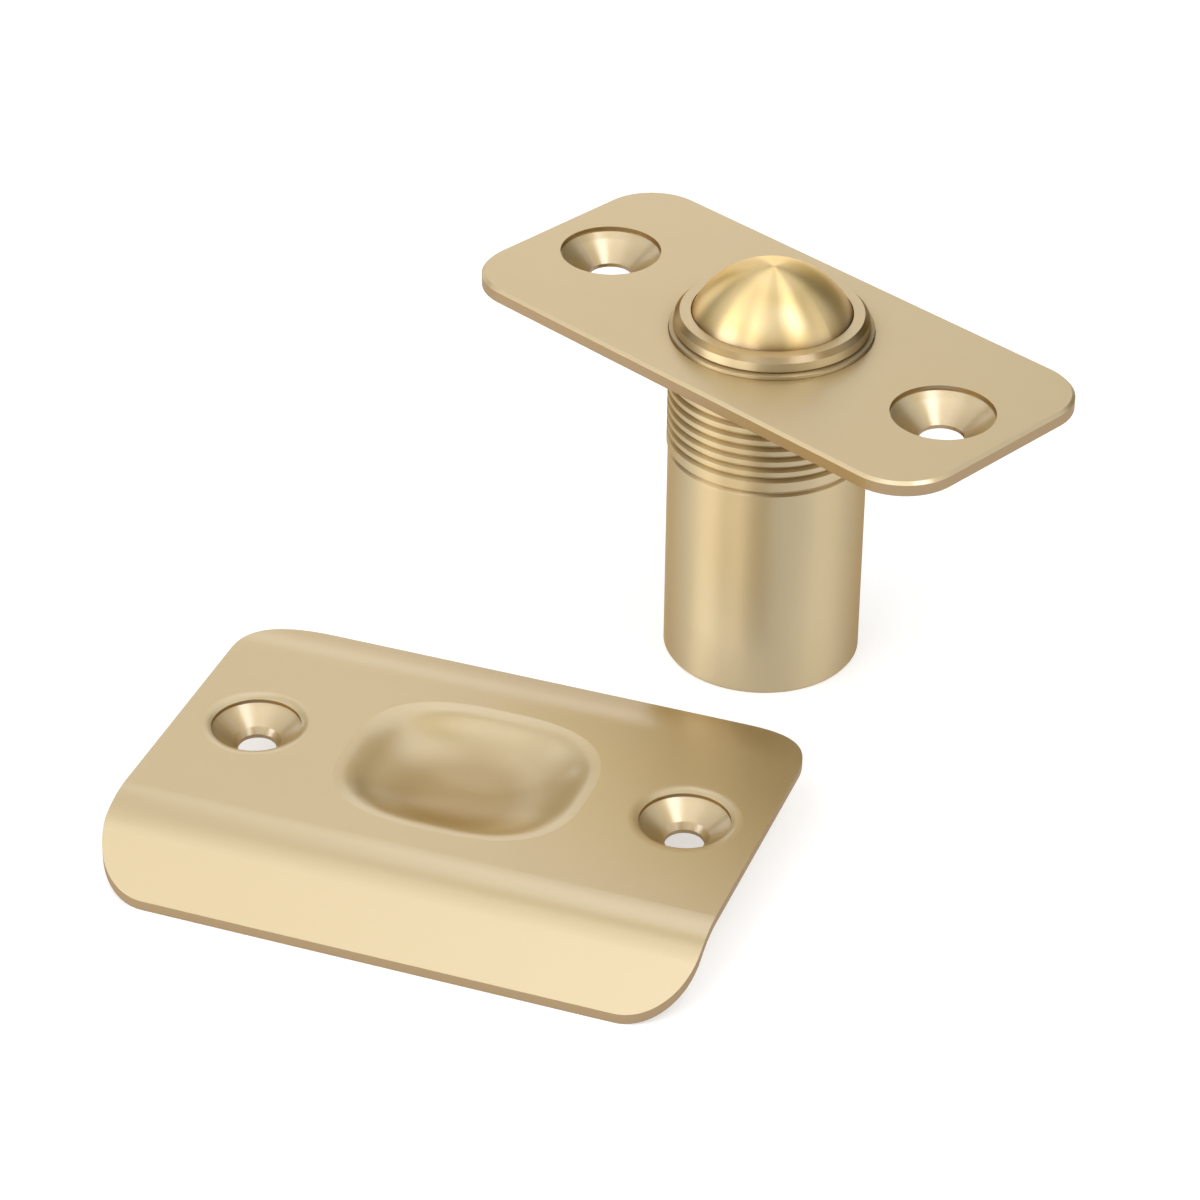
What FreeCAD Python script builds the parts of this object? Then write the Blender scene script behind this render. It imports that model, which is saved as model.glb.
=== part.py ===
import FreeCAD, Part
import math
import os
import re
import Sketcher

# Ball catch for the edge of a door, with the strike plate that it latches in.
# All sizes are in millimetres. The origin is on the barrel's axis at its foot, +Z is up out of
# the face plate, and +X runs along the face plate.

os.makedirs("parts", exist_ok=True)
doc = FreeCAD.newDocument("ball_catch")

# Driving dimensions
DIMENSIONS = {
    # Face plate
    "plate_length": 54.5,
    "plate_width": 25.2,
    "plate_thick": 1.3,
    "plate_corner": 5.4,
    "plate_bevel": 0.28,
    "plate_top": 33.0,
    "plate_screws": 40.3,
    # Countersinks of the face plate, drawn down below it
    "sink_radius": 4.6,
    "sink_wall": 0.4,
    "sink_ledge": 0.15,
    "sink_ring_radius": 3.85,
    "sink_ring_depth": 0.85,
    "sink_hole_radius": 2.0,
    "sink_neck": 0.35,
    "sink_depth": 2.8,
    "sink_metal": 0.6,
    # Barrel
    "barrel_radius": 9.0,
    "barrel_wall": 1.0,
    "collar_rise": 1.8,
    "collar_lip": 0.8,
    "collar_land": 1.0,
    "collar_chamfer": 0.5,
    "collar_wall": 0.45,
    # Thread, as rings whose crests run in the plate's hole, ending in a wide crest and a relief
    "thread_stand": 0.12,
    "thread_mouth": 0.62,
    "thread_depth": 0.42,
    "thread_pitch": 1.07,
    "thread_count": 11,
    "thread_length": 13.8,
    "thread_relief": 0.5,
    "thread_gap": 0.05,
    # Ball, follower, spring and plug
    "ball_gap": 0.06,
    "follower_gap": 0.1,
    "follower_rim": 3.0,
    "follower_floor": 9.2,
    "spigot_radius": 4.6,
    "spigot_length": 2.0,
    "spring_coil": 6.2,
    "spring_wire": 0.6,
    "spring_turns": 8,
    "plug_recess": 0.4,
    "plug_thick": 2.0,
    # Strike plate: flat middle, a long lip bent down on the near side, and a rolled far side.
    # Near and far sizes are measured from the middle of the dimple.
    "strike_length": 53.5,
    "strike_near": 21.2,
    "strike_far": 16.9,
    "strike_sheet": 0.75,
    "near_corner": 5.6,
    "far_corner": 6.9,
    "near_flat": 12.0,
    "far_flat": 11.0,
    "near_bend": 7.8,
    "near_slope": 36.6,
    "far_roll": 14.0,
    "strike_screws": 39.7,
    # Strike's oblong dimple, with the radii of its rolled rim and of its floor
    "dimple_width": 19.2,
    "dimple_length": 22.8,
    "dimple_square": 2.8,
    "dimple_rim": 4.0,
    "dimple_floor": 15.1,
    "dimple_first": 2.0,
    "dimple_slope": 31.0,
    "dimple_last": 2.5,
    # Strike's drawn screw holes, each with a rolled surround
    "draw_radius": 4.9,
    "draw_dip": 0.25,
    "draw_rim": 3.95,
    "draw_wall": 0.35,
    "draw_throat": 2.13,
    "draw_throat_depth": 1.9,
    "draw_hole": 1.7,
    "draw_neck": 0.35,
    "draw_depth": 2.8,
    "draw_metal": 0.5,
    # Where the strike lies beside the catch
    "strike_x": 2.3,
    "strike_y": -39.45,
    "strike_turn": 25.0,
}
# Sizes that follow from them
WORKED_OUT = {
    "plate_under": "plate_top - plate_thick",
    "collar_top": "plate_top + collar_rise",
    "barrel_bore": "barrel_radius - barrel_wall",
    "collar_mouth": "barrel_bore - collar_lip",
    "collar_ring": "collar_mouth + collar_land",
    "thread_crest": "barrel_radius + thread_stand",
    "first_groove": "collar_top - collar_chamfer - collar_wall - thread_mouth / 2",
    "relief_height": "collar_top - thread_length + thread_relief / 2",
    "ball_radius": "barrel_bore - ball_gap",
    "ball_height": "collar_top - sqrt(barrel_bore ^ 2 - collar_mouth ^ 2)",
    "follower_base": "ball_height - follower_floor",
    "plug_top": "plug_recess + plug_thick",
    "draw_roll": "((draw_radius - draw_rim) ^ 2 + draw_dip ^ 2) / (2 * draw_dip)",
    "bend_reach": "near_bend * tan(near_slope * 1 deg / 2)",
    "lip_drop": "(strike_near - near_flat - bend_reach) * tan(near_slope * 1 deg)",
    "strike_top": "lip_drop + strike_sheet / cos(near_slope * 1 deg)",
}

sheet = doc.addObject("Spreadsheet::Sheet", "sizes")
for row, (word, value) in enumerate(DIMENSIONS.items(), start=1):
    sheet.set(f"A{row}", word)
    sheet.set(f"B{row}", str(value))
    sheet.setAlias(f"B{row}", word)
for row, (word, formula) in enumerate(WORKED_OUT.items(), start=len(DIMENSIONS) + 1):
    sheet.set(f"A{row}", word)
    sheet.set(f"B{row}", "=" + formula)
    sheet.setAlias(f"B{row}", word)
doc.recompute()

WORDS = {*DIMENSIONS, *WORKED_OUT}


def bound(formula):
    """The formula with each of the sheet's words pointing at the sheet."""
    return re.sub(r"[a-z_]+", lambda found: pointed(found.group()), formula)


def pointed(word):
    return "sizes." + word if word in WORDS else word


def number(formula):
    """The formula's value as a plain number."""
    result = sheet.evalExpression(bound(formula))
    return float(getattr(result, "Value", result))


def bind(thing, **formulas):
    """Bind properties to formulas; a double underscore stands for a point in the path."""
    for path, formula in formulas.items():
        thing.setExpression(path.replace("__", "."), bound(formula))


# Steps along the dimple's rolled rim, its floor and each closed curve of it
RIM_STEPS = 4
FLOOR_STEPS = 7
OVAL_STEPS = 32
# How far above the flat the dimple's tool starts, so that it cuts the flat cleanly
TOOL_LIFT = 0.01

# Bodies and sketches

def new_body(label):
    body = doc.addObject("PartDesign::Body", label)
    body.Label = label
    return body


def new_sketch(body, role, name, lift=None):
    """A sketch on one of the body's own origin planes, lifted off it by a formula."""
    plane = next(f for f in body.Origin.OriginFeatures if f.Role == role)
    sketch = body.newObject("Sketcher::SketchObject", name)
    sketch.AttachmentSupport = [(plane, "")]
    sketch.MapMode = "FlatFace"
    if lift:
        bind(sketch, AttachmentOffset__Base__z=lift)
    return sketch


def axis_of(body, role):
    return next(f for f in body.Origin.OriginFeatures if f.Role == role)


def draw_outline(sketch, corners, arcs=()):
    """Close a loop through corners given as formulas; arcs maps a side's number to a radius
    and +1 or -1 for the side of the chord that the arc's centre is on."""
    arcs = dict(arcs)
    places = [FreeCAD.Vector(number(x), number(y), 0) for x, y in corners]
    for side, (start, end) in enumerate(zip(places, places[1:] + places[:1])):
        if side not in arcs:
            sketch.addGeometry(Part.LineSegment(start, end))
            continue
        radius, hand = arcs[side]
        chord = end - start
        middle = (start + end) / 2
        across = FreeCAD.Vector(-chord.y, chord.x, 0).normalize() * hand
        centre = middle + across * math.sqrt(number(radius) ** 2 - (chord.Length / 2) ** 2)
        bulge = middle - centre
        top = centre + bulge.normalize() * number(radius)
        sketch.addGeometry(Part.Arc(start, top, end))
    for side in range(len(places)):
        after = (side + 1) % len(places)
        # A side drawn clockwise as an arc has its ends the other way round
        sketch.addConstraint(Sketcher.Constraint("Coincident", side, end_of(sketch, side, places[after]),
                                                 after, end_of(sketch, after, places[after])))
    for side, (x, y) in enumerate(corners):
        first = end_of(sketch, side, places[side])
        hold(sketch, "DistanceX", side, first, x, places[side].x)
        hold(sketch, "DistanceY", side, first, y, places[side].y)
    for side, (radius, hand) in arcs.items():
        made = sketch.addConstraint(Sketcher.Constraint("Radius", side, number(radius)))
        sketch.setExpression(f"Constraints[{made}]", bound(radius))


def end_of(sketch, side, place):
    """1 or 2: which end of a drawn side lies at a place."""
    near = (sketch.getPoint(side, 1) - place).Length < (sketch.getPoint(side, 2) - place).Length
    return 1 if near else 2


def hold(sketch, kind, side, end, formula, value):
    """Fix one coordinate of a point, from the sketch's origin."""
    if abs(value) < 1e-9:
        axis = -2 if kind == "DistanceX" else -1
        sketch.addConstraint(Sketcher.Constraint("PointOnObject", side, end, axis))
        return
    made = sketch.addConstraint(Sketcher.Constraint(kind, -1, 1, side, end, value))
    sketch.setExpression(f"Constraints[{made}]", bound(formula))


def turned(body, kind, name, corners, arcs=(), shift=None):
    """A revolution or groove, all the way round the Z axis or a line parallel to it."""
    sketch = new_sketch(body, "XZ_Plane", name + "_outline")
    if shift:
        bind(sketch, AttachmentOffset__Base__x=shift)
    draw_outline(sketch, corners, arcs)
    feature = body.newObject("PartDesign::" + kind, name)
    feature.Profile = sketch
    feature.ReferenceAxis = (sketch, ["V_Axis"])
    feature.Angle = 360
    sketch.Visibility = False
    return feature


def mirrored(body, name, *features):
    """Repeat features on the other side of the YZ plane."""
    pattern = body.newObject("PartDesign::Mirrored", name)
    pattern.Originals = list(features)
    pattern.MirrorPlane = (axis_of(body, "YZ_Plane"), [""])
    body.Tip = pattern
    return pattern


def edges_where(shape, wanted):
    """Names of a shape's edges that a test on the edge's middle point and length picks."""
    names = []
    for index, edge in enumerate(shape.Edges, start=1):
        middle = edge.valueAt((edge.FirstParameter + edge.LastParameter) / 2)
        if wanted(edge, middle):
            names.append(f"Edge{index}")
    return names


def dress(body, kind, name, base, wanted, size):
    """A fillet or chamfer on the picked edges of a feature."""
    doc.recompute()
    feature = body.newObject("PartDesign::" + kind, name)
    feature.Base = (base, edges_where(base.Shape, wanted))
    bind(feature, **{"Radius" if kind == "Fillet" else "Size": size})
    return feature


def is_upright(edge, middle):
    ends = [vertex.Point for vertex in edge.Vertexes]
    return len(ends) == 2 and math.hypot(ends[0].x - ends[1].x, ends[0].y - ends[1].y) < 1e-6


# Part solids and booleans

def solid(kind, name, **formulas):
    thing = doc.addObject("Part::" + kind, name)
    bind(thing, **formulas)
    return thing


def joined(kind, name, base, tool):
    thing = doc.addObject("Part::" + kind, name)
    thing.Base = base
    thing.Tool = tool
    return thing


# Face plate

def make_face_plate():
    body = new_body("face_plate")
    outline = new_sketch(body, "XY_Plane", "plate_outline", lift="plate_under")
    half_length = "plate_length / 2"
    half_width = "plate_width / 2"
    draw_outline(outline, [
        ("-1 * " + half_length, "-1 * " + half_width),
        (half_length, "-1 * " + half_width),
        (half_length, half_width),
        ("-1 * " + half_length, half_width),
    ])
    plate = body.newObject("PartDesign::Pad", "plate")
    plate.Profile = outline
    bind(plate, Length="plate_thick")
    corners = dress(body, "Fillet", "plate_corners", plate, is_upright, "plate_corner")
    top = number("plate_top")
    dress(body, "Chamfer", "plate_edge", corners,
          lambda edge, middle: abs(edge.BoundBox.ZMin - top) < 1e-6, "plate_bevel")
    doc.recompute()

    # Each screw hole's cup, drawn down below the plate, and the countersink in it
    place = "plate_screws / 2"
    cup = turned(body, "Revolution", "cup", [
        ("0", "plate_under + plate_thick / 2"),
        ("sink_radius + sink_metal", "plate_under + plate_thick / 2"),
        ("sink_radius + sink_metal", "plate_under"),
        ("sink_hole_radius + sink_metal", "plate_top - sink_depth + sink_neck"),
        ("sink_hole_radius + sink_metal", "plate_top - sink_depth"),
        ("0", "plate_top - sink_depth"),
    ], shift=place)
    mirrored(body, "cups", cup)
    doc.recompute()
    sink = turned(body, "Groove", "sink", [
        ("0", "plate_top + plate_thick"),
        ("sink_radius", "plate_top + plate_thick"),
        ("sink_radius", "plate_top - sink_wall"),
        ("sink_radius - sink_ledge", "plate_top - sink_wall"),
        ("sink_ring_radius", "plate_top - sink_ring_depth"),
        ("sink_hole_radius", "plate_top - sink_depth + sink_neck"),
        ("sink_hole_radius", "plate_top - sink_depth - sink_metal"),
        ("0", "plate_top - sink_depth - sink_metal"),
    ], shift=place)
    mirrored(body, "sinks", sink)
    doc.recompute()

    # The hole that the barrel's thread runs in
    hole = new_sketch(body, "XY_Plane", "hole_outline", lift="plate_top")
    hole.addGeometry(Part.Circle(FreeCAD.Vector(), FreeCAD.Vector(0, 0, 1), number("thread_crest")))
    hole.addConstraint(Sketcher.Constraint("Coincident", 0, 3, -1, 1))
    made = hole.addConstraint(Sketcher.Constraint("Radius", 0, number("thread_crest")))
    hole.setExpression(f"Constraints[{made}]", bound("thread_crest + thread_gap"))
    threaded_hole = body.newObject("PartDesign::Pocket", "threaded_hole")
    threaded_hole.Profile = hole
    threaded_hole.Type = "ThroughAll"
    body.Tip = threaded_hole
    return body


# Barrel

def make_barrel():
    body = new_body("barrel")
    turned(body, "Revolution", "barrel_bar", [
        ("0", "0"),
        ("barrel_radius", "0"),
        ("barrel_radius", "relief_height"),
        ("thread_crest", "relief_height"),
        ("thread_crest", "collar_top - collar_chamfer"),
        ("collar_ring", "collar_top"),
        ("0", "collar_top"),
    ])
    doc.recompute()
    # The bore ends in the ball's own seat, which the collar's top cuts open as the mouth
    turned(body, "Groove", "bore", [
        ("0", "0"),
        ("barrel_bore", "0"),
        ("barrel_bore", "ball_height"),
        ("0", "ball_height + barrel_bore"),
    ], arcs={2: ("barrel_bore", 1)})
    doc.recompute()
    # The relief below the wide last crest
    turned(body, "Groove", "relief", [
        ("barrel_radius - thread_relief / 2", "relief_height"),
        ("barrel_radius + thread_relief / 2", "relief_height + thread_relief"),
        ("barrel_radius + thread_relief / 2", "relief_height - thread_relief"),
    ])
    doc.recompute()
    # One ring of the thread, repeated down to the wide last crest
    ring = turned(body, "Groove", "thread_ring", [
        ("thread_crest - thread_depth", "first_groove"),
        ("thread_crest + thread_depth", "first_groove + thread_mouth"),
        ("thread_crest + thread_depth", "first_groove - thread_mouth"),
    ])
    doc.recompute()
    rings = body.newObject("PartDesign::LinearPattern", "thread_rings")
    rings.Originals = [ring]
    rings.Direction = (axis_of(body, "Z_Axis"), [""])
    rings.Reversed = True
    rings.Mode = "Spacing"
    bind(rings, Offset="thread_pitch", Occurrences="thread_count")
    body.Tip = rings
    return body


# Ball, follower, spring and plug, all hidden in the barrel but for the ball's crown

def make_ball():
    return solid("Sphere", "ball", Radius="ball_radius", Placement__Base__z="ball_height")


def make_follower():
    block = solid("Cylinder", "follower_block", Radius="barrel_bore - follower_gap",
                  Height="follower_floor - follower_rim", Placement__Base__z="follower_base")
    spigot = solid("Cylinder", "follower_spigot", Radius="spigot_radius",
                   Height="spigot_length + spring_wire",
                   Placement__Base__z="follower_base - spigot_length")
    seat = solid("Sphere", "follower_seat", Radius="barrel_bore", Placement__Base__z="ball_height")
    whole = joined("Fuse", "follower_whole", block, spigot)
    return joined("Cut", "follower", whole, seat)


def make_spring():
    wire_path = solid("Helix", "spring_path", Radius="spring_coil",
                      Height="follower_base - plug_top - 2 * spring_wire",
                      Pitch="( follower_base - plug_top - 2 * spring_wire ) / spring_turns",
                      Placement__Base__z="plug_top + spring_wire")
    section = solid("Circle", "spring_section", Radius="spring_wire",
                    Placement__Base__x="spring_coil",
                    Placement__Base__z="plug_top + spring_wire")
    section.Placement.Rotation = FreeCAD.Rotation(FreeCAD.Vector(1, 0, 0), 90)
    coil = doc.addObject("Part::Sweep", "spring")
    coil.Sections = [section]
    coil.Spine = (wire_path, [])
    coil.Solid = True
    coil.Frenet = True
    return coil


def make_plug():
    disc = solid("Cylinder", "plug_disc", Radius="barrel_bore", Height="plug_thick",
                 Placement__Base__z="plug_recess")
    spigot = solid("Cylinder", "plug_spigot", Radius="spigot_radius",
                   Height="spigot_length + plug_thick / 2",
                   Placement__Base__z="plug_top - plug_thick / 2")
    return joined("Fuse", "end_plug", disc, spigot)


# Strike plate: the pressed upper form less the same form one sheet's thickness in

def make_pressed_form(name, inset, spread, hole_corners, hole_arcs=()):
    """A block whose top has the strike's shape, inset by one formula and wider by another."""
    body = new_body(name)
    near = f"(strike_near + {spread})"
    far = f"(strike_far + {spread})"
    crown = f"(near_flat + bend_reach - {inset} * tan(near_slope * 1 deg / 2))"
    level = f"(strike_top - {inset})"
    roll = f"(far_roll - {inset})"
    outline = new_sketch(body, "YZ_Plane", name + "_outline",
                         lift=f"-1 * (strike_length / 2 + {spread})")
    draw_outline(outline, [
        (f"-1 * {near}", "-1 * strike_top"),
        (far, "-1 * strike_top"),
        (far, f"{level} - {roll} + sqrt({roll} ^ 2 - ({far} - far_flat) ^ 2)"),
        ("far_flat", level),
        (f"-1 * {crown}", level),
        (f"-1 * {near}", f"{level} - ({near} - {crown}) * tan(near_slope * 1 deg)"),
    ], {2: (roll, 1)})
    block = body.newObject("PartDesign::Pad", name + "_block")
    block.Profile = outline
    bind(block, Length=f"strike_length + 2 * {spread}")
    top = number(level)
    crease = -number(crown)

    def is_crease(edge, middle):
        return abs(middle.z - top) < 1e-6 and abs(middle.y - crease) < 1e-6

    bend = dress(body, "Fillet", name + "_bend", block, is_crease, f"near_bend - {inset}")
    if spread == "0":
        corners = dress(body, "Fillet", name + "_near_corners", bend,
                        lambda edge, middle: is_upright(edge, middle) and middle.y < 0, "near_corner")
        dress(body, "Fillet", name + "_far_corners", corners,
              lambda edge, middle: is_upright(edge, middle) and middle.y > 0, "far_corner")
    doc.recompute()
    hole = turned(body, "Groove", name + "_hole", hole_corners, hole_arcs, "strike_screws / 2")
    mirrored(body, name + "_holes", hole)
    doc.recompute()
    return joined("Cut", name + "_dented", body, make_dimple_tool(name + "_dimple", inset))


def make_dimple_tool(name, inset):
    """What the dimple takes out of a pressed form: a smooth loft down through closed curves.
    The wall leaves the flat on a rolled rim and eases into the floor on a larger radius."""
    rim = number("dimple_rim")
    floor = number("dimple_floor")
    first, steepest, last = (math.radians(number(word))
                             for word in ("dimple_first", "dimple_slope", "dimple_last"))
    curves = []
    for step in range(RIM_STEPS + 1):
        slope = first + (steepest - first) * step / RIM_STEPS
        run = rim * (math.sin(slope) - math.sin(first))
        drop = rim * (math.cos(first) - math.cos(slope))
        curves.append(dimple_curve(slope, run, drop, number(inset)))
    rim_run = rim * (math.sin(steepest) - math.sin(first))
    rim_drop = rim * (math.cos(first) - math.cos(steepest))
    for step in range(1, FLOOR_STEPS + 1):
        slope = steepest + (last - steepest) * step / FLOOR_STEPS
        run = rim_run + floor * (math.sin(steepest) - math.sin(slope))
        drop = rim_drop + floor * (math.cos(slope) - math.cos(steepest))
        curves.append(dimple_curve(slope, run, drop, number(inset)))
    tool = doc.addObject("Part::Feature", name)
    tool.Shape = Part.makeLoft(curves, True, False)
    return tool


def dimple_curve(slope, run, drop, inset):
    """A squared oval, a run in from the dimple's rim and a drop below the strike's flat."""
    width = number("dimple_width") / 2
    share = 1 - run / width
    grown = inset * math.sin(slope)
    half_width = width * share + grown
    half_length = (number("dimple_length") / 2 - width) * (1 + share) / 2 + half_width
    power = 2 / number("dimple_square")
    height = number("strike_top") + TOOL_LIFT - drop - inset * math.cos(slope)
    points = []
    for step in range(OVAL_STEPS):
        turn = 2 * math.pi * step / OVAL_STEPS
        across = math.copysign(abs(math.cos(turn)) ** power, math.cos(turn))
        along = math.copysign(abs(math.sin(turn)) ** power, math.sin(turn))
        points.append(FreeCAD.Vector(half_length * across, half_width * along, height))
    curve = Part.BSplineCurve()
    curve.interpolate(points, PeriodicFlag=True)
    return Part.Wire(curve.toShape())


def make_strike():
    upper = make_pressed_form("upper_form", "0", "0", [
        ("0", "strike_top + strike_sheet"),
        ("draw_radius", "strike_top + strike_sheet"),
        ("draw_radius", "strike_top"),
        ("draw_rim", "strike_top - draw_dip"),
        ("draw_rim", "strike_top - draw_dip - draw_wall"),
        ("draw_throat", "strike_top - draw_throat_depth"),
        ("draw_hole", "strike_top - draw_depth + draw_neck"),
        ("draw_hole", "strike_top - draw_depth - strike_sheet"),
        ("0", "strike_top - draw_depth - strike_sheet"),
    ], {2: ("draw_roll", 1)})
    lower = make_pressed_form("lower_form", "strike_sheet", "strike_sheet", [
        ("0", "strike_top"),
        ("draw_radius + draw_metal", "strike_top"),
        ("draw_radius + draw_metal", "strike_top - strike_sheet"),
        ("draw_hole + draw_metal", "strike_top - draw_depth + draw_neck"),
        ("draw_hole + draw_metal", "strike_top - draw_depth"),
        ("0", "strike_top - draw_depth"),
    ])
    plate = joined("Cut", "strike_plate", upper, lower)
    bind(plate, Placement__Base__x="strike_x", Placement__Base__y="strike_y")
    plate.Placement.Rotation = FreeCAD.Rotation(FreeCAD.Vector(0, 0, 1), number("strike_turn"))
    return plate


sub_parts = [
    make_face_plate(),
    make_barrel(),
    make_ball(),
    make_follower(),
    make_spring(),
    make_plug(),
    make_strike(),
]
doc.recompute()

# Every object has built, and every sub-part is one valid solid, before anything is written
failed = [thing.Label for thing in doc.Objects if {"Invalid", "Error"} & set(thing.State)]
if failed:
    raise RuntimeError("not built: " + ", ".join(failed))
for part in sub_parts:
    if part.Shape.isNull() or not part.Shape.isValid() or len(part.Shape.Solids) != 1:
        raise RuntimeError(part.Label + " is not one valid solid")
for part in sub_parts:
    part.Shape.exportStep(os.path.join("parts", part.Label + ".step"))
    box = part.Shape.BoundBox
    print(f"{part.Label}: volume {part.Shape.Volume:.1f}, "
          f"x {box.XMin:.2f} to {box.XMax:.2f}, y {box.YMin:.2f} to {box.YMax:.2f}, "
          f"z {box.ZMin:.2f} to {box.ZMax:.2f}")
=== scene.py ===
# %% [markdown]
# # A ball catch and its strike plate
#
# A ball catch holds a door shut without a handle. A barrel is screwed through a face plate and
# sunk in the door's edge, and a sprung ball stands out of it. When the door closes, the ball
# drops into the dimple of a strike plate on the frame. Both plates are satin brass and the ball
# is polished.
#
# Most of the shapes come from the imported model, so this script is mostly about two finishes of
# one metal, and about the light that tells them apart.

# %% Load the model
import math

import bmesh
import bpy
from mathutils import Matrix, Vector


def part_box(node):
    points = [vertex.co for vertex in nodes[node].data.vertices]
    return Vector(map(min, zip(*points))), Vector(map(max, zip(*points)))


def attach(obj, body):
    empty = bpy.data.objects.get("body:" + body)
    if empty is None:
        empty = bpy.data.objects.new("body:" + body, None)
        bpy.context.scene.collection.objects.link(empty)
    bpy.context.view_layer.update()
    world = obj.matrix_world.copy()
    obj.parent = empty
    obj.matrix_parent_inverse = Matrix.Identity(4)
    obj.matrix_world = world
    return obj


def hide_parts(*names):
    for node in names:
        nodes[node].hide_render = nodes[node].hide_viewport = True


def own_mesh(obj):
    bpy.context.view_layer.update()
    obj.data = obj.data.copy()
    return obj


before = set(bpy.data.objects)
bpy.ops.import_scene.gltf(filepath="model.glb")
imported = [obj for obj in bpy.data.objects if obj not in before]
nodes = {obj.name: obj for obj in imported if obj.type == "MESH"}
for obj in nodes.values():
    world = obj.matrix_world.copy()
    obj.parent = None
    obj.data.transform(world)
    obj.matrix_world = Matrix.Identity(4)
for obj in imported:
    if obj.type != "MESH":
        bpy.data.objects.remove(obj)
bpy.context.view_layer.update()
MM = 0.001

# %% [markdown]
# ## Camera
#
# A long lens well back from small hardware keeps its edges nearly parallel. The view is told the
# way a photographer would: what the lens points at, from which side, how high and how far.

# %% Place the camera
AIM = Vector((-1.65, -19.5, 12.4)) * MM
AZIMUTH = math.radians(44.81)
ELEVATION = math.radians(33.08)
ROLL = math.radians(0.67)
DISTANCE = 376 * MM
NEAREST_SEEN = 10 * MM
LENS_MM = 127.3
SENSOR_MM = 36.0


def towards(azimuth, elevation):
    """The direction from the object to a viewer; azimuth 0 is on the -Y side."""
    level = math.cos(elevation)
    return Vector((math.sin(azimuth) * level, -math.cos(azimuth) * level, math.sin(elevation)))


camera_data = bpy.data.cameras.new("camera")
camera_data.lens = LENS_MM
camera_data.sensor_width = SENSOR_MM
camera_data.clip_start = NEAREST_SEEN
camera = bpy.data.objects.new("camera", camera_data)
bpy.context.scene.collection.objects.link(camera)
back = towards(AZIMUTH, ELEVATION)
camera.location = AIM + back * DISTANCE
turn = back.to_track_quat("Z", "Y").to_matrix() @ Matrix.Rotation(ROLL, 3, "Z")
camera.rotation_euler = turn.to_euler()
bpy.context.scene.camera = camera
print("camera at", [round(value / MM, 1) for value in camera.location], "mm")

# %% [markdown]
# ## Colour, nodes and meshes
#
# Colours are given as sRGB hex values and turned to the linear values that the renderer
# works in. One helper adds a node with its settings and links, and another turns a finished
# bmesh into an object.

# %% Helpers for materials


def linear(hex_colour):
    """An sRGB hex colour as linear red, green, blue and alpha."""
    values = [int(hex_colour[start:start + 2], 16) / 255 for start in (1, 3, 5)]
    curved = [v / 12.92 if v <= 0.04045 else ((v + 0.055) / 1.055) ** 2.4 for v in values]
    return (*curved, 1.0)


def add_node(tree, kind, settings=(), links=()):
    """Add a node, set its properties or sockets, and link sockets to it.

    A socket is told by its name, or by its number where two of them share a name.
    """
    node = tree.nodes.new(kind)
    for name, value in dict(settings).items():
        if isinstance(name, int) or name in node.inputs:
            node.inputs[name].default_value = value
        else:
            setattr(node, name, value)
    for name, source in dict(links).items():
        tree.links.new(source, node.inputs[name])
    return node


def new_material(name):
    """An empty node material with its output, ready for a shader."""
    material = bpy.data.materials.new(name)
    material.use_nodes = True
    tree = material.node_tree
    tree.nodes.clear()
    output = tree.nodes.new("ShaderNodeOutputMaterial")
    return material, tree, output


def finish_node(node_name, material):
    """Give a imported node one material."""
    mesh = nodes[node_name].data
    mesh.materials.clear()
    mesh.materials.append(material)


print("material helpers ready")

# %% Helper for meshes


def add_object(name, shape, materials, crease=None):
    """Turn a bmesh into an object, shaded smooth up to the crease angle if there is one."""
    mesh = bpy.data.meshes.new(name)
    shape.to_mesh(mesh)
    shape.free()
    if crease is not None:
        mesh.shade_smooth()
        mesh.set_sharp_from_angle(angle=crease)
    for material in materials:
        mesh.materials.append(material)
    added = bpy.data.objects.new(name, mesh)
    bpy.context.scene.collection.objects.link(added)
    return added


print("mesh helper ready")

# %% [markdown]
# ## Satin brass
#
# The plates are rolled brass sheet, blasted fine, plated and then lacquered, which gives a soft
# pale gold. A metal colours its reflections, so the gold is the base colour of a fully metallic
# shader, and its IOR stays at the default. Blasted metal has a typical roughness of about 0.5,
# which spreads the reflection of a lamp over the whole plate.
#
# The lacquer is a coat. A real one has an IOR of about 1.5 and would hardly show at this
# distance. Here it is thinned to a part of its weight and its IOR is raised to 3, so that the
# brightest places turn paler than the gold, as they do on the real plates.
#
# The blasting grain is a noise an eighth of a millimetre across. That is coarser than the real
# grit marks, which would be too fine to show. A second, slow noise of 6 mm moves the roughness a
# little, as plating does. Ambient occlusion finds the corners, grooves and bowls, and paints shade
# there: the gold turns to a darker brown, as if less light reached it.

# %% What satin brass is like
SATIN_GOLD = linear("#C2AE82")
SATIN_EDGE = linear("#C4A26A")
# The brown that is painted into corners, grooves and bowls as their shade
CORNER_SHADE_BROWN = linear("#94763F")
# How open a place is, from 0 to 1, up to which the painted shade is full brown and from which the
# gold is plain
FULL_SHADE_UP_TO = 0.3
UNSHADED_FROM = 0.93
SHADE_REACH = 6 * MM
BLASTED = 0.54
ROUGHNESS_DRIFT = 0.03
DRIFT_PATCH = 6 * MM
GRIT = 0.125 * MM
GRIT_DEPTH = 0.002 * MM
GRIT_STRENGTH = 0.25
EDGE_RADIUS = 0.08 * MM
EVEN = (1, 1, 1)
LACQUER = {"Coat Weight": 0.45, "Coat Roughness": 0.25, "Coat IOR": 3.0}
print("satin brass of roughness", BLASTED)

# %% Satin brass


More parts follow.
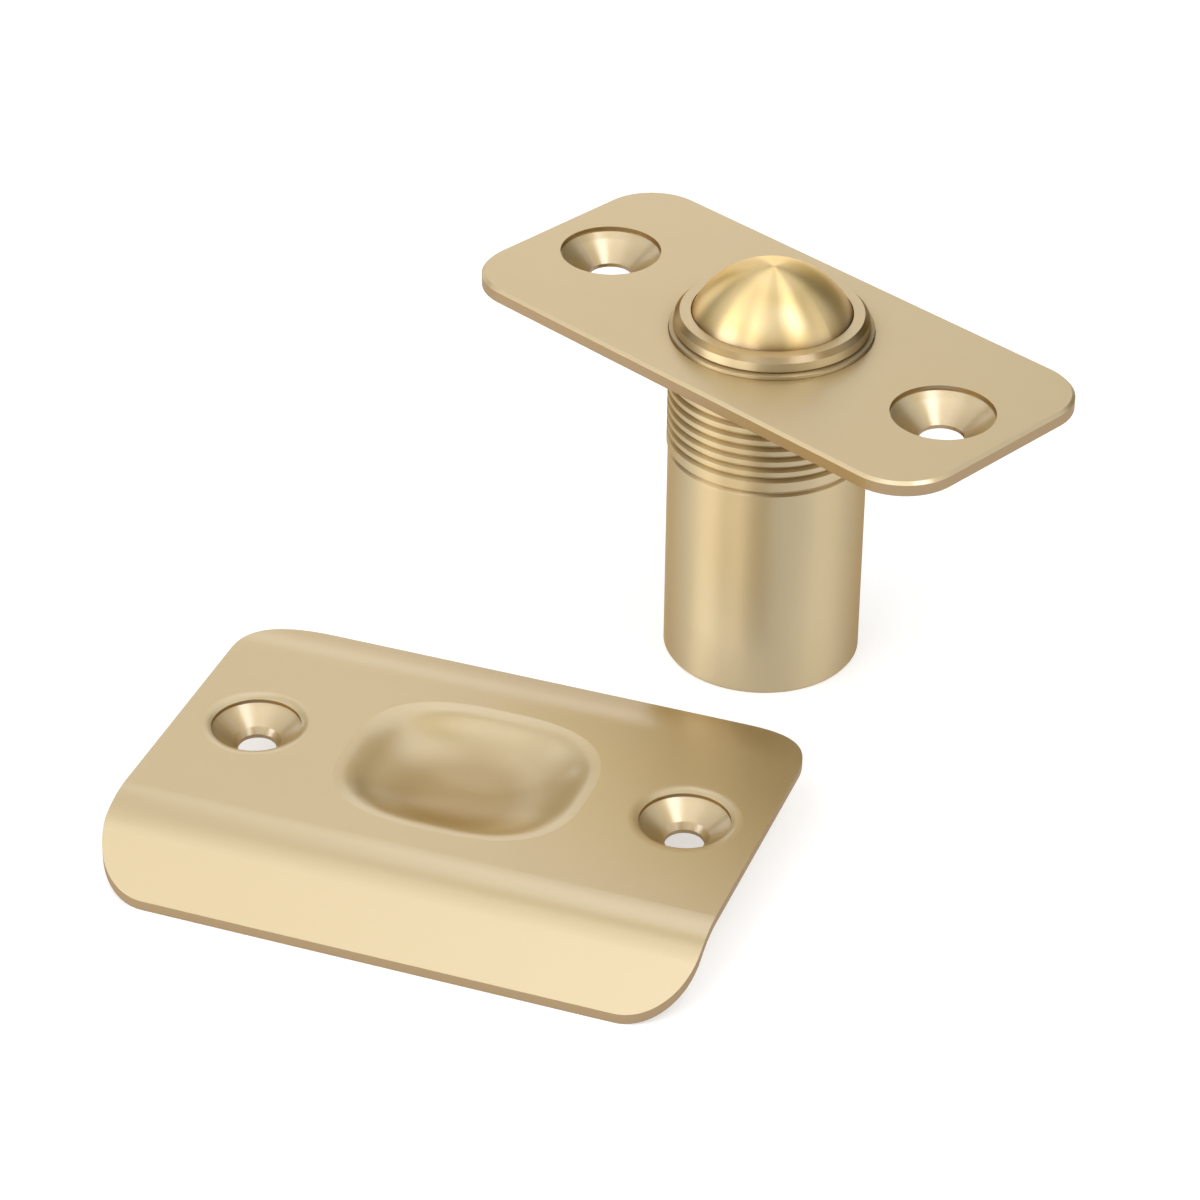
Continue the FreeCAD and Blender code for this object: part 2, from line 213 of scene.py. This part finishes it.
def satin_finish(name, stretch, own_corners, typical):
    """Satin plated brass of a typical roughness.

    stretch scales the grain along X, Y and Z, so that it can run one way. Ambient occlusion paints
    shade into the corners, and with own_corners only the piece's own shape shades them, and not
    what stands next to it. The nodes that a later cell changes come back by name.
    """
    material, tree, output = new_material(name)
    place = add_node(tree, "ShaderNodeTexCoord")
    laid = add_node(tree, "ShaderNodeMapping", {"Scale": stretch},
                    {"Vector": place.outputs["Object"]})
    grain = add_node(tree, "ShaderNodeTexNoise", {"Scale": 1 / GRIT, "Detail": 2.0},
                     {"Vector": laid.outputs["Vector"]})
    slow = add_node(tree, "ShaderNodeTexNoise", {"Scale": 1 / DRIFT_PATCH, "Detail": 3.0},
                    {"Vector": place.outputs["Object"]})
    roughness = add_node(tree, "ShaderNodeMapRange",
                         {"To Min": typical - ROUGHNESS_DRIFT, "To Max": typical + ROUGHNESS_DRIFT},
                         {"Value": slow.outputs["Fac"]})
    # Painted shade: ambient occlusion turns the gold brown in corners, grooves and bowls
    corners = add_node(tree, "ShaderNodeAmbientOcclusion",
                       {"Distance": SHADE_REACH, "only_local": own_corners})
    plating_and_shade = add_node(tree, "ShaderNodeValToRGB", (), {"Fac": corners.outputs["AO"]})
    shade_stop, unshaded_stop = plating_and_shade.color_ramp.elements
    shade_stop.position, shade_stop.color = FULL_SHADE_UP_TO, CORNER_SHADE_BROWN
    unshaded_stop.position, unshaded_stop.color = UNSHADED_FROM, SATIN_GOLD
    rounded = add_node(tree, "ShaderNodeBevel", {"Radius": EDGE_RADIUS})
    bump = add_node(tree, "ShaderNodeBump", {"Strength": GRIT_STRENGTH, "Distance": GRIT_DEPTH},
                    {"Height": grain.outputs["Fac"], "Normal": rounded.outputs["Normal"]})
    shader = add_node(tree, "ShaderNodeBsdfPrincipled",
                      {"Metallic": 1.0, "Specular Tint": SATIN_EDGE, **LACQUER},
                      {"Base Color": plating_and_shade.outputs["Color"],
                       "Roughness": roughness.outputs["Result"],
                       "Normal": bump.outputs["Normal"]})
    tree.links.new(shader.outputs["BSDF"], output.inputs["Surface"])
    return material, {"shader": shader, "corners": corners, "plating_and_shade": plating_and_shade}


satin_brass, sheet = satin_finish("satin_plated_brass", EVEN, False, BLASTED)
for node_name in ("face_plate", "strike_plate"):
    finish_node(node_name, satin_brass)
print("satin brass on both plates")

# %% [markdown]
# Both plates are cut from sheet. Their edges and the walls of their holes get painted shade, a
# darker brown, as such sides are darker under this light. The material tells them by their normal:
# what looks neither up nor straight down is a cut edge or a wall.

# %% Painted shade on the cut edges
SHADED_SIDE_UP_TO = 0.1
UNSHADED_TOP_FROM = 0.3
BACK_BELOW = -0.9
SIDE_SHADE_LEVEL = 0.3

tree = satin_brass.node_tree
# Painted shade: faces that look sideways turn brown, and faces that look up or straight down keep
# the gold
surface = add_node(tree, "ShaderNodeTexCoord")
upward = add_node(tree, "ShaderNodeSeparateXYZ", (), {"Vector": surface.outputs["Normal"]})
face = add_node(tree, "ShaderNodeMapRange",
                {"From Min": SHADED_SIDE_UP_TO, "From Max": UNSHADED_TOP_FROM, "To Min": SIDE_SHADE_LEVEL},
                {"Value": upward.outputs["Z"]})
level_back = add_node(tree, "ShaderNodeMath", {"operation": "LESS_THAN", 1: BACK_BELOW},
                      {0: upward.outputs["Z"]})
plated = add_node(tree, "ShaderNodeMath", {"operation": "MAXIMUM"},
                  {0: face.outputs["Result"], 1: level_back.outputs["Value"]})
side_and_corner_shade = add_node(tree, "ShaderNodeMath", {"operation": "MINIMUM"},
                 {0: sheet["corners"].outputs["AO"], 1: plated.outputs["Value"]})
# The brown printed here is the painted shade on the sides
print("cut edges are brown up to a normal of", SHADED_SIDE_UP_TO, "and plated from", UNSHADED_TOP_FROM)

# %% [markdown]
# The strike's dimple gets painted shade in its bowl: a deeper brass, which fades out towards the
# rim. A circle round a middle set a little towards the near wall says how far it goes, so that
# the near side is the darker. The coat is turned down over the same patch, which dims its pale
# highlights there too.

# %% Painted shade in the dimple
BOWL_SHADE_MIDDLE = Vector((2.3, -40.6, 0)) * MM
BOWL_SHADE_RADIUS = 8.2 * MM
FADES_FROM = 0.5
BOWL_SHADE_LEVEL = 0.6
BOWL_SHADE_COAT = 0.2

# Painted shade: the bowl of the dimple turns a deeper brown, and its coat is turned down
from_middle = add_node(tree, "ShaderNodeMapping",
                       {"Scale": (1 / BOWL_SHADE_RADIUS, 1 / BOWL_SHADE_RADIUS, 0),
                        "Location": -BOWL_SHADE_MIDDLE / BOWL_SHADE_RADIUS},
                       {"Vector": surface.outputs["Object"]})
reach = add_node(tree, "ShaderNodeVectorMath", {"operation": "LENGTH"},
                 {"Vector": from_middle.outputs["Vector"]})
bowl = add_node(tree, "ShaderNodeMapRange",
                {"interpolation_type": "SMOOTHSTEP", "From Min": FADES_FROM, "From Max": 1.0,
                 "To Min": BOWL_SHADE_LEVEL}, {"Value": reach.outputs["Value"]})
bowl_shade = add_node(tree, "ShaderNodeMath", {"operation": "MINIMUM"},
                 {0: side_and_corner_shade.outputs["Value"], 1: bowl.outputs["Result"]})
bowl_coat_weight = add_node(tree, "ShaderNodeMapRange",
                   {"From Min": BOWL_SHADE_LEVEL, "To Min": BOWL_SHADE_COAT,
                    "To Max": LACQUER["Coat Weight"]}, {"Value": bowl.outputs["Result"]})
tree.links.new(bowl_shade.outputs["Value"], sheet["plating_and_shade"].inputs["Fac"])
tree.links.new(bowl_coat_weight.outputs["Result"], sheet["shader"].inputs["Coat Weight"])
# The radius printed is that of the painted shade in the bowl
print("the dimple is wiped", round(BOWL_SHADE_RADIUS / MM, 1), "mm round its middle")

# %% [markdown]
# ## Turned brass
#
# The barrel has the same plating, but it was turned from bar on a lathe first. The tool leaves
# rings too fine to see, and they pull every reflection out along the barrel. That is why its
# light and dark bands run straight up and down. Rings drawn as a bump would need millions of
# faces or flicker, so the shader stretches the reflection itself: it is anisotropic, with a
# tangent that goes round Z. The roughness of 0.46 is a little lower than that of the plates.
#
# Two faces of the collar differ. The chamfer has a darker copy of the turned brass, which
# paints shade on it as a brown band.
# The flat land on top was faced and blasted like the plates.

# %% Turned and plated brass
TURNED = 0.46
ROUND_THE_BARREL = (0.1, 0.1, 1)
LATHE_STRETCH = 0.8
QUARTER_TURN = 0.25
THIN_LACQUER = 0.2


def turned_finish(name, gold):
    """The same plating over lathe rings, which pull its reflections out along Z."""
    material, bar = satin_finish(name, ROUND_THE_BARREL, True, TURNED)
    bar["plating_and_shade"].color_ramp.elements[1].color = linear(gold)
    bar["shader"].inputs["Anisotropic"].default_value = LATHE_STRETCH
    bar["shader"].inputs["Anisotropic Rotation"].default_value = QUARTER_TURN
    bar["shader"].inputs["Coat Weight"].default_value = THIN_LACQUER
    around = add_node(material.node_tree, "ShaderNodeTangent",
                      {"direction_type": "RADIAL", "axis": "Z"})
    material.node_tree.links.new(around.outputs["Tangent"], bar["shader"].inputs["Tangent"])
    return material


turned_satin = turned_finish("turned_plated_brass", "#C2B08A")
# Painted shade: a darker copy of the turned brass for the collar's chamfer
chamfer_shade = turned_finish("chamfer_painted_shade_brass", "#9C8252")
land_satin, _ = satin_finish("faced_plated_brass", EVEN, True, BLASTED)
print("turned brass ready, of roughness", TURNED)

# %% [markdown]
# ## The barrel's turned profile
#
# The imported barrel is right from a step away. The collar round the ball is where the eye goes, so
# the barrel is turned again here the way a lathe does it: one half profile, spun round Z. A
# stack of cylinders with bevels could do it too, but a profile puts every small step in one list,
# as radius and height in millimetres.
#
# The collar has a flat land, a steep chamfer and a band that leans back a little. Below a fine
# groove the thread starts on a larger diameter. Its grooves have a small flat root, as a real
# tool leaves. Under the thread is a narrow relief, and the foot has a broken edge.

# %% Measures of the barrel
COLLAR_TOP = 34.8
BORE = 8.0
MOUTH = 7.2
CREST = 9.12
BODY = 9.0

LAND_EDGE = (8.2, COLLAR_TOP)
CHAMFER_FOOT = (8.64, 34.32)
BAND_FOOT = (8.76, 33.58)
FINE_GROOVE = [(8.6, 33.52), (8.6, 33.45)]
THREAD_START = [(8.76, 33.39), (CREST, 33.33)]
RELIEF = [(CREST, 21.62), (8.76, 21.28), (8.76, 21.22), (BODY, 21.0)]
FOOT = [(BODY, 0.3), (8.8, 0.0), (BORE, 0.0)]

PITCH = 1.07
GROOVES = 10
FIRST_GROOVE = 32.47
GROOVE_HALF = 0.31
ROOT = 8.74
ROOT_HALF = 0.04
print(GROOVES, "whole grooves from", FIRST_GROOVE, "mm down")

# %% Draw the half profile
SEAT_STEPS = 12

seat_height = COLLAR_TOP - math.sqrt(BORE ** 2 - MOUTH ** 2)
profile = [LAND_EDGE, CHAMFER_FOOT, BAND_FOOT, *FINE_GROOVE, *THREAD_START]
for groove in range(GROOVES):
    middle = FIRST_GROOVE - groove * PITCH
    profile += [(CREST, middle + GROOVE_HALF), (ROOT, middle + ROOT_HALF),
                (ROOT, middle - ROOT_HALF), (CREST, middle - GROOVE_HALF)]
profile += [*RELIEF, *FOOT, (BORE, seat_height)]
# The bore closes in to the mouth round the ball
seat_end = math.acos(MOUTH / BORE)
for step in range(1, SEAT_STEPS + 1):
    angle = seat_end * step / SEAT_STEPS
    profile.append((BORE * math.cos(angle), seat_height + BORE * math.sin(angle)))
print(len(profile), "points in the half profile")

# %% Spin it round the barrel's axis
AROUND = 144
LATHE_CREASE = math.radians(20)
TURNED_SLOT, CHAMFER_SHADE_SLOT, LAND_SLOT = 0, 1, 2
# The chamfer is the first step of the profile, and the land is the last
finish_at = {0: CHAMFER_SHADE_SLOT, len(profile) - 1: LAND_SLOT}

barrel_shape = bmesh.new()
rings = []
for step in range(AROUND):
    angle = math.tau * step / AROUND
    rings.append([barrel_shape.verts.new((radius * math.cos(angle) * MM,
                                          radius * math.sin(angle) * MM, height * MM))
                  for radius, height in profile])
for step in range(AROUND):
    here, after = rings[step], rings[(step + 1) % AROUND]
    for low in range(len(profile)):
        high = (low + 1) % len(profile)
        side = barrel_shape.faces.new((here[low], here[high], after[high], after[low]))
        side.material_index = finish_at.get(low, TURNED_SLOT)
bmesh.ops.recalc_face_normals(barrel_shape, faces=barrel_shape.faces)
barrel = add_object("turned_barrel", barrel_shape, (turned_satin, chamfer_shade, land_satin),
                    LATHE_CREASE)
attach(barrel, "barrel")
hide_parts("barrel")
print("barrel with", len(barrel.data.polygons), "faces")

# %% [markdown]
# ## Polished ball
#
# The ball is solid brass, spun against a polishing wheel. The wheel leaves circles round the
# crown, so the reflections run like spokes from it, bright and dark by turns. It is the same
# anisotropic trick as on the barrel. The gold is deeper than that of the plated pieces. Ambient
# occlusion paints shade on its foot, where it stands in the collar, and turns the gold brown there.
#
# Polished brass would have a roughness near 0.1. The wheel's marks widen that across the spokes
# to about 0.45, and a noise of half a millimetre varies it, as fine scratches do.

# %% What polished brass is like
BALL_GOLD = linear("#E4C98A")
BALL_EDGE = linear("#C79C4E")
BALL_FOOT_SHADE = linear("#8F6A2C")
FOOT_SHADE_UP_TO = 0.72
CROWN_FROM = 0.98
FOOT_SHADE_REACH = 3 * MM
SCRATCH = 0.5 * MM
SCRATCHED = (0.43, 0.49)
WHEEL_STRETCH = 0.9
BALL_LACQUER = {"Coat Weight": 0.3, "Coat Roughness": 0.3, "Coat IOR": 3.0}
print("polished brass of roughness", SCRATCHED)

# %% Polished ball
polished_brass, tree, output = new_material("spun_polished_brass")
place = add_node(tree, "ShaderNodeTexCoord")
around = add_node(tree, "ShaderNodeTangent", {"direction_type": "RADIAL", "axis": "Z"})
scratches = add_node(tree, "ShaderNodeTexNoise", {"Scale": 1 / SCRATCH, "Detail": 4.0},
                     {"Vector": place.outputs["Object"]})
roughness = add_node(tree, "ShaderNodeMapRange",
                     {"To Min": SCRATCHED[0], "To Max": SCRATCHED[1]},
                     {"Value": scratches.outputs["Fac"]})
# Painted shade: ambient occlusion turns the ball's gold brown at its foot in the collar
foot_shade = add_node(tree, "ShaderNodeAmbientOcclusion", {"Distance": FOOT_SHADE_REACH})
ball_colour = add_node(tree, "ShaderNodeValToRGB", (), {"Fac": foot_shade.outputs["AO"]})
foot_shade_stop, crown_stop = ball_colour.color_ramp.elements
foot_shade_stop.position, foot_shade_stop.color = FOOT_SHADE_UP_TO, BALL_FOOT_SHADE
crown_stop.position, crown_stop.color = CROWN_FROM, BALL_GOLD
polished = add_node(tree, "ShaderNodeBsdfPrincipled",
                    {"Metallic": 1.0, "Specular Tint": BALL_EDGE, "Anisotropic": WHEEL_STRETCH,
                     "Anisotropic Rotation": QUARTER_TURN, **BALL_LACQUER},
                    {"Base Color": ball_colour.outputs["Color"],
                     "Roughness": roughness.outputs["Result"],
                     "Tangent": around.outputs["Tangent"]})
tree.links.new(polished.outputs["BSDF"], output.inputs["Surface"])
finish_node("ball", polished_brass)
print("polished brass on the ball")

# %% [markdown]
# ## Inside the barrel
#
# The follower, the end plug and the spring are out of sight until the barrel is taken apart. The
# two brass pieces are left as the lathe cut them: bare metal of a typical roughness of 0.3, with
# a light tarnish in patches of 2 mm. Their end faces have tool rings 1.3 mm apart, drawn coarser
# than a real feed so that they show. A wave texture repeats about every 0.31 of its unit, so that
# unit is 4 mm. The spring is bright drawn steel wire, with fine die marks.

# %% Bare turned brass
BARE_BRASS = linear("#D3B26E")
TARNISHED = linear("#B08F50")
TARNISH_PATCH = 2 * MM
RING_UNIT = 4 * MM
RING_DEPTH = 0.01 * MM
RING_STRENGTH = 0.4
BARE = 0.3

bare_brass, tree, output = new_material("bare_turned_brass")
place = add_node(tree, "ShaderNodeTexCoord")
tool_rings = add_node(tree, "ShaderNodeTexWave",
                      {"wave_type": "RINGS", "rings_direction": "Z", "Scale": 1 / RING_UNIT,
                       "Distortion": 0.3}, {"Vector": place.outputs["Object"]})
bump = add_node(tree, "ShaderNodeBump", {"Strength": RING_STRENGTH, "Distance": RING_DEPTH},
                {"Height": tool_rings.outputs["Fac"]})
tarnish = add_node(tree, "ShaderNodeTexNoise", {"Scale": 1 / TARNISH_PATCH, "Detail": 4.0},
                   {"Vector": place.outputs["Object"]})
brass_colour = add_node(tree, "ShaderNodeValToRGB", (), {"Fac": tarnish.outputs["Fac"]})
tarnish_stop, bare_stop = brass_colour.color_ramp.elements
tarnish_stop.color, bare_stop.color = TARNISHED, BARE_BRASS
bare = add_node(tree, "ShaderNodeBsdfPrincipled", {"Metallic": 1.0, "Roughness": BARE},
                {"Base Color": brass_colour.outputs["Color"], "Normal": bump.outputs["Normal"]})
tree.links.new(bare.outputs["BSDF"], output.inputs["Surface"])
for node_name in ("follower", "end_plug"):
    finish_node(node_name, bare_brass)
print("bare brass on the follower and the end plug")

# %% Drawn spring steel
STEEL = linear("#A9ABAD")
DIE_MARK = 0.3 * MM
DRAWN = (0.2, 0.35)

spring_steel, tree, output = new_material("drawn_spring_steel")
place = add_node(tree, "ShaderNodeTexCoord")
die_marks = add_node(tree, "ShaderNodeTexNoise", {"Scale": 1 / DIE_MARK, "Detail": 3.0},
                     {"Vector": place.outputs["Object"]})
roughness = add_node(tree, "ShaderNodeMapRange", {"To Min": DRAWN[0], "To Max": DRAWN[1]},
                     {"Value": die_marks.outputs["Fac"]})
steel = add_node(tree, "ShaderNodeBsdfPrincipled", {"Base Color": STEEL, "Metallic": 1.0},
                 {"Roughness": roughness.outputs["Result"]})
tree.links.new(steel.outputs["BSDF"], output.inputs["Surface"])
print("spring steel ready, of roughness", DRAWN)

# %% [markdown]
# ## The spring
#
# The spring is one wire wound round Z. The last turns at both ends are closed, so that it stands
# square on the plug and under the follower. When the ball is pressed in, its lower end stays and
# its upper end goes down with the follower, so the piece is squashed along Z by the ball's
# travel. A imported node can't do that, so the wire is wound again here, between the same heights.

# %% Measures of the spring
WIRE_RADIUS = 0.6 * MM
COIL_RADIUS = 6.2 * MM
TURNS = 8
CLOSED_TURNS = 0.75

spring_low, spring_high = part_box("spring")
spring_length = spring_high.z - spring_low.z
wound_height = spring_length - 2 * WIRE_RADIUS
open_pitch = (wound_height - 4 * CLOSED_TURNS * WIRE_RADIUS) / (TURNS - 2 * CLOSED_TURNS)


def wire_height(turns):
    """How high the middle of the wire is after so many turns."""
    closed = min(turns, CLOSED_TURNS) + max(0, turns - (TURNS - CLOSED_TURNS))
    return (spring_low.z + WIRE_RADIUS + closed * 2 * WIRE_RADIUS
            + (turns - closed) * open_pitch)


print("spring of", round(spring_length / MM, 2), "mm, open pitch", round(open_pitch / MM, 2))

# %% Wind the spring
STEPS_A_TURN = 40
ROUND_THE_WIRE = 12
WIRE_CREASE = math.radians(50)

spring_shape = bmesh.new()
loops = []
for step in range(TURNS * STEPS_A_TURN + 1):
    turns = step / STEPS_A_TURN
    angle = math.tau * turns
    outward = Vector((math.cos(angle), math.sin(angle), 0))
    middle = outward * COIL_RADIUS + Vector((0, 0, wire_height(turns)))
    loop = []
    for part in range(ROUND_THE_WIRE):
        around_wire = math.tau * part / ROUND_THE_WIRE
        across = outward * math.cos(around_wire) + Vector((0, 0, math.sin(around_wire)))
        loop.append(spring_shape.verts.new(middle + across * WIRE_RADIUS))
    loops.append(loop)
for before, after in zip(loops, loops[1:]):
    for part in range(ROUND_THE_WIRE):
        following = (part + 1) % ROUND_THE_WIRE
        spring_shape.faces.new((before[part], before[following], after[following], after[part]))
spring_shape.faces.new(loops[0])
spring_shape.faces.new(loops[-1])
bmesh.ops.recalc_face_normals(spring_shape, faces=spring_shape.faces)
spring = add_object("wound_spring", spring_shape, (spring_steel,), WIRE_CREASE)
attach(spring, "spring")
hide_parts("spring")
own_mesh(spring)
print("spring with", len(spring.data.polygons), "faces")

# %% [markdown]
# ## Floor
#
# The object stands on a white floor that has no edge in view. The paint is lit by the lamps and
# keeps the object's shadow. A glow seen only by the camera and by reflections and glass lifts it
# to plain white, so that the floor is white in the metal too and no lamp has to be raised for it.
# The glow grows away from the object, where the lamps reach the paint less.

# %% White floor
FLOOR_HALF = 6.0
FLOOR_PAINT = linear("#C2C2C2")
GLOW_NEAR = 0.55
GLOW_FAR = 1.0
LIT_TO = 0.3
FADED_BY = 1.2

floor_white, tree, output = new_material("floor_white")
paint = add_node(tree, "ShaderNodeBsdfDiffuse", {"Color": FLOOR_PAINT})
place = add_node(tree, "ShaderNodeTexCoord")
away = add_node(tree, "ShaderNodeVectorMath", {"operation": "LENGTH"},
                {"Vector": place.outputs["Object"]})
strength = add_node(tree, "ShaderNodeMapRange",
                    {"From Min": LIT_TO, "From Max": FADED_BY, "To Min": GLOW_NEAR,
                     "To Max": GLOW_FAR}, {"Value": away.outputs["Value"]})
glow = add_node(tree, "ShaderNodeEmission", (), {"Strength": strength.outputs["Result"]})
rays = add_node(tree, "ShaderNodeLightPath")
direct = add_node(tree, "ShaderNodeMath", {"operation": "MAXIMUM"},
                  {0: rays.outputs["Is Camera Ray"], 1: rays.outputs["Is Glossy Ray"]})
seen = add_node(tree, "ShaderNodeMath", {"operation": "MAXIMUM"},
                {0: direct.outputs["Value"], 1: rays.outputs["Is Transmission Ray"]})
both = add_node(tree, "ShaderNodeAddShader", (),
                {0: paint.outputs["BSDF"], 1: glow.outputs["Emission"]})
shown = add_node(tree, "ShaderNodeMixShader", (),
                 {0: seen.outputs["Value"], 1: paint.outputs["BSDF"], 2: both.outputs["Shader"]})
tree.links.new(shown.outputs["Shader"], output.inputs["Surface"])

floor_shape = bmesh.new()
bmesh.ops.create_grid(floor_shape, x_segments=1, y_segments=1, size=FLOOR_HALF)
floor = add_object("floor", floor_shape, (floor_white,))
print("white floor,", 2 * FLOOR_HALF, "m across")

# %% [markdown]
# ## Light
#
# Metal shows its lamps rather than being lit by them, so each lamp has a job in one reflection.
# A lamp shows at the angle where the camera's line bounces off a surface. For the flat plates
# that is at the back, 33 degrees up. The upright barrel sends it down and round: each lamp at
# about 12 degrees makes one bright stripe, and the gaps between them make the dark ones. The
# strike's bent lip and the plate's bevel look up to the left, and the bright spokes of the ball
# look up to the front and the right.
#
# All lamps are plain white softboxes, 0.9 m away. A brightness of 1 mirrors as plain white, and
# rough metal needs more, because it spreads a lamp over a wide patch.

# %% Lights
LAMP_DISTANCE = 0.9


def add_softbox(name, azimuth, elevation, width, height, brightness):
    """A soft light that faces the object, at angles in degrees and of a size in metres."""
    light = bpy.data.lights.new(name, "AREA")
    light.shape = "RECTANGLE"
    light.size = width
    light.size_y = height
    light.energy = math.pi * width * height * brightness
    lamp = bpy.data.objects.new(name, light)
    bpy.context.scene.collection.objects.link(lamp)
    out = towards(math.radians(azimuth), math.radians(elevation))
    lamp.location = AIM + out * LAMP_DISTANCE
    lamp.rotation_euler = out.to_track_quat("Z", "Y").to_euler()
    print(name, "at", [round(value, 2) for value in lamp.location])


# The barrel's stripes, from left to right
add_softbox("left_rim", 265, 12, 0.3, 0.5, 1.6)
add_softbox("left_key", 338, 12, 0.5, 0.6, 5.7)
add_softbox("low_front", 12, 12, 0.35, 0.6, 3.8)
add_softbox("right_low", 112, 11, 0.6, 0.6, 1.7)

# The flats of both plates
add_softbox("back", 225, 32, 0.6, 0.6, 0.82)
add_softbox("back_low", 228, 12, 0.4, 0.5, 1.2)
add_softbox("back_overhead", 210, 62, 0.6, 0.5, 1.4)

# The strike's bend and lip, and the bevel of the face plate
add_softbox("side_high", 262, 54, 0.6, 0.6, 0.7)
add_softbox("left_high", 304, 40, 0.6, 0.6, 0.95)
add_softbox("front_overhead", 0, 66, 0.6, 0.6, 1.4)

# The ball and the screw holes
add_softbox("ball_front", 30, 52, 0.6, 0.4, 1.8)
add_softbox("ball_spark", 92, 56, 0.32, 0.6, 6.0)
add_softbox("right_high", 145, 36, 0.5, 0.5, 0.9)

# %% Studio and view
STUDIO_LEVEL = 0.05

world = bpy.data.worlds.new("studio")
world.use_nodes = True
studio = world.node_tree.nodes["Background"].inputs
studio["Color"].default_value = (1, 1, 1, 1)
studio["Strength"].default_value = STUDIO_LEVEL
bpy.context.scene.world = world
bpy.context.scene.view_settings.view_transform = "Standard"
print("studio walls at", STUDIO_LEVEL, "of white")
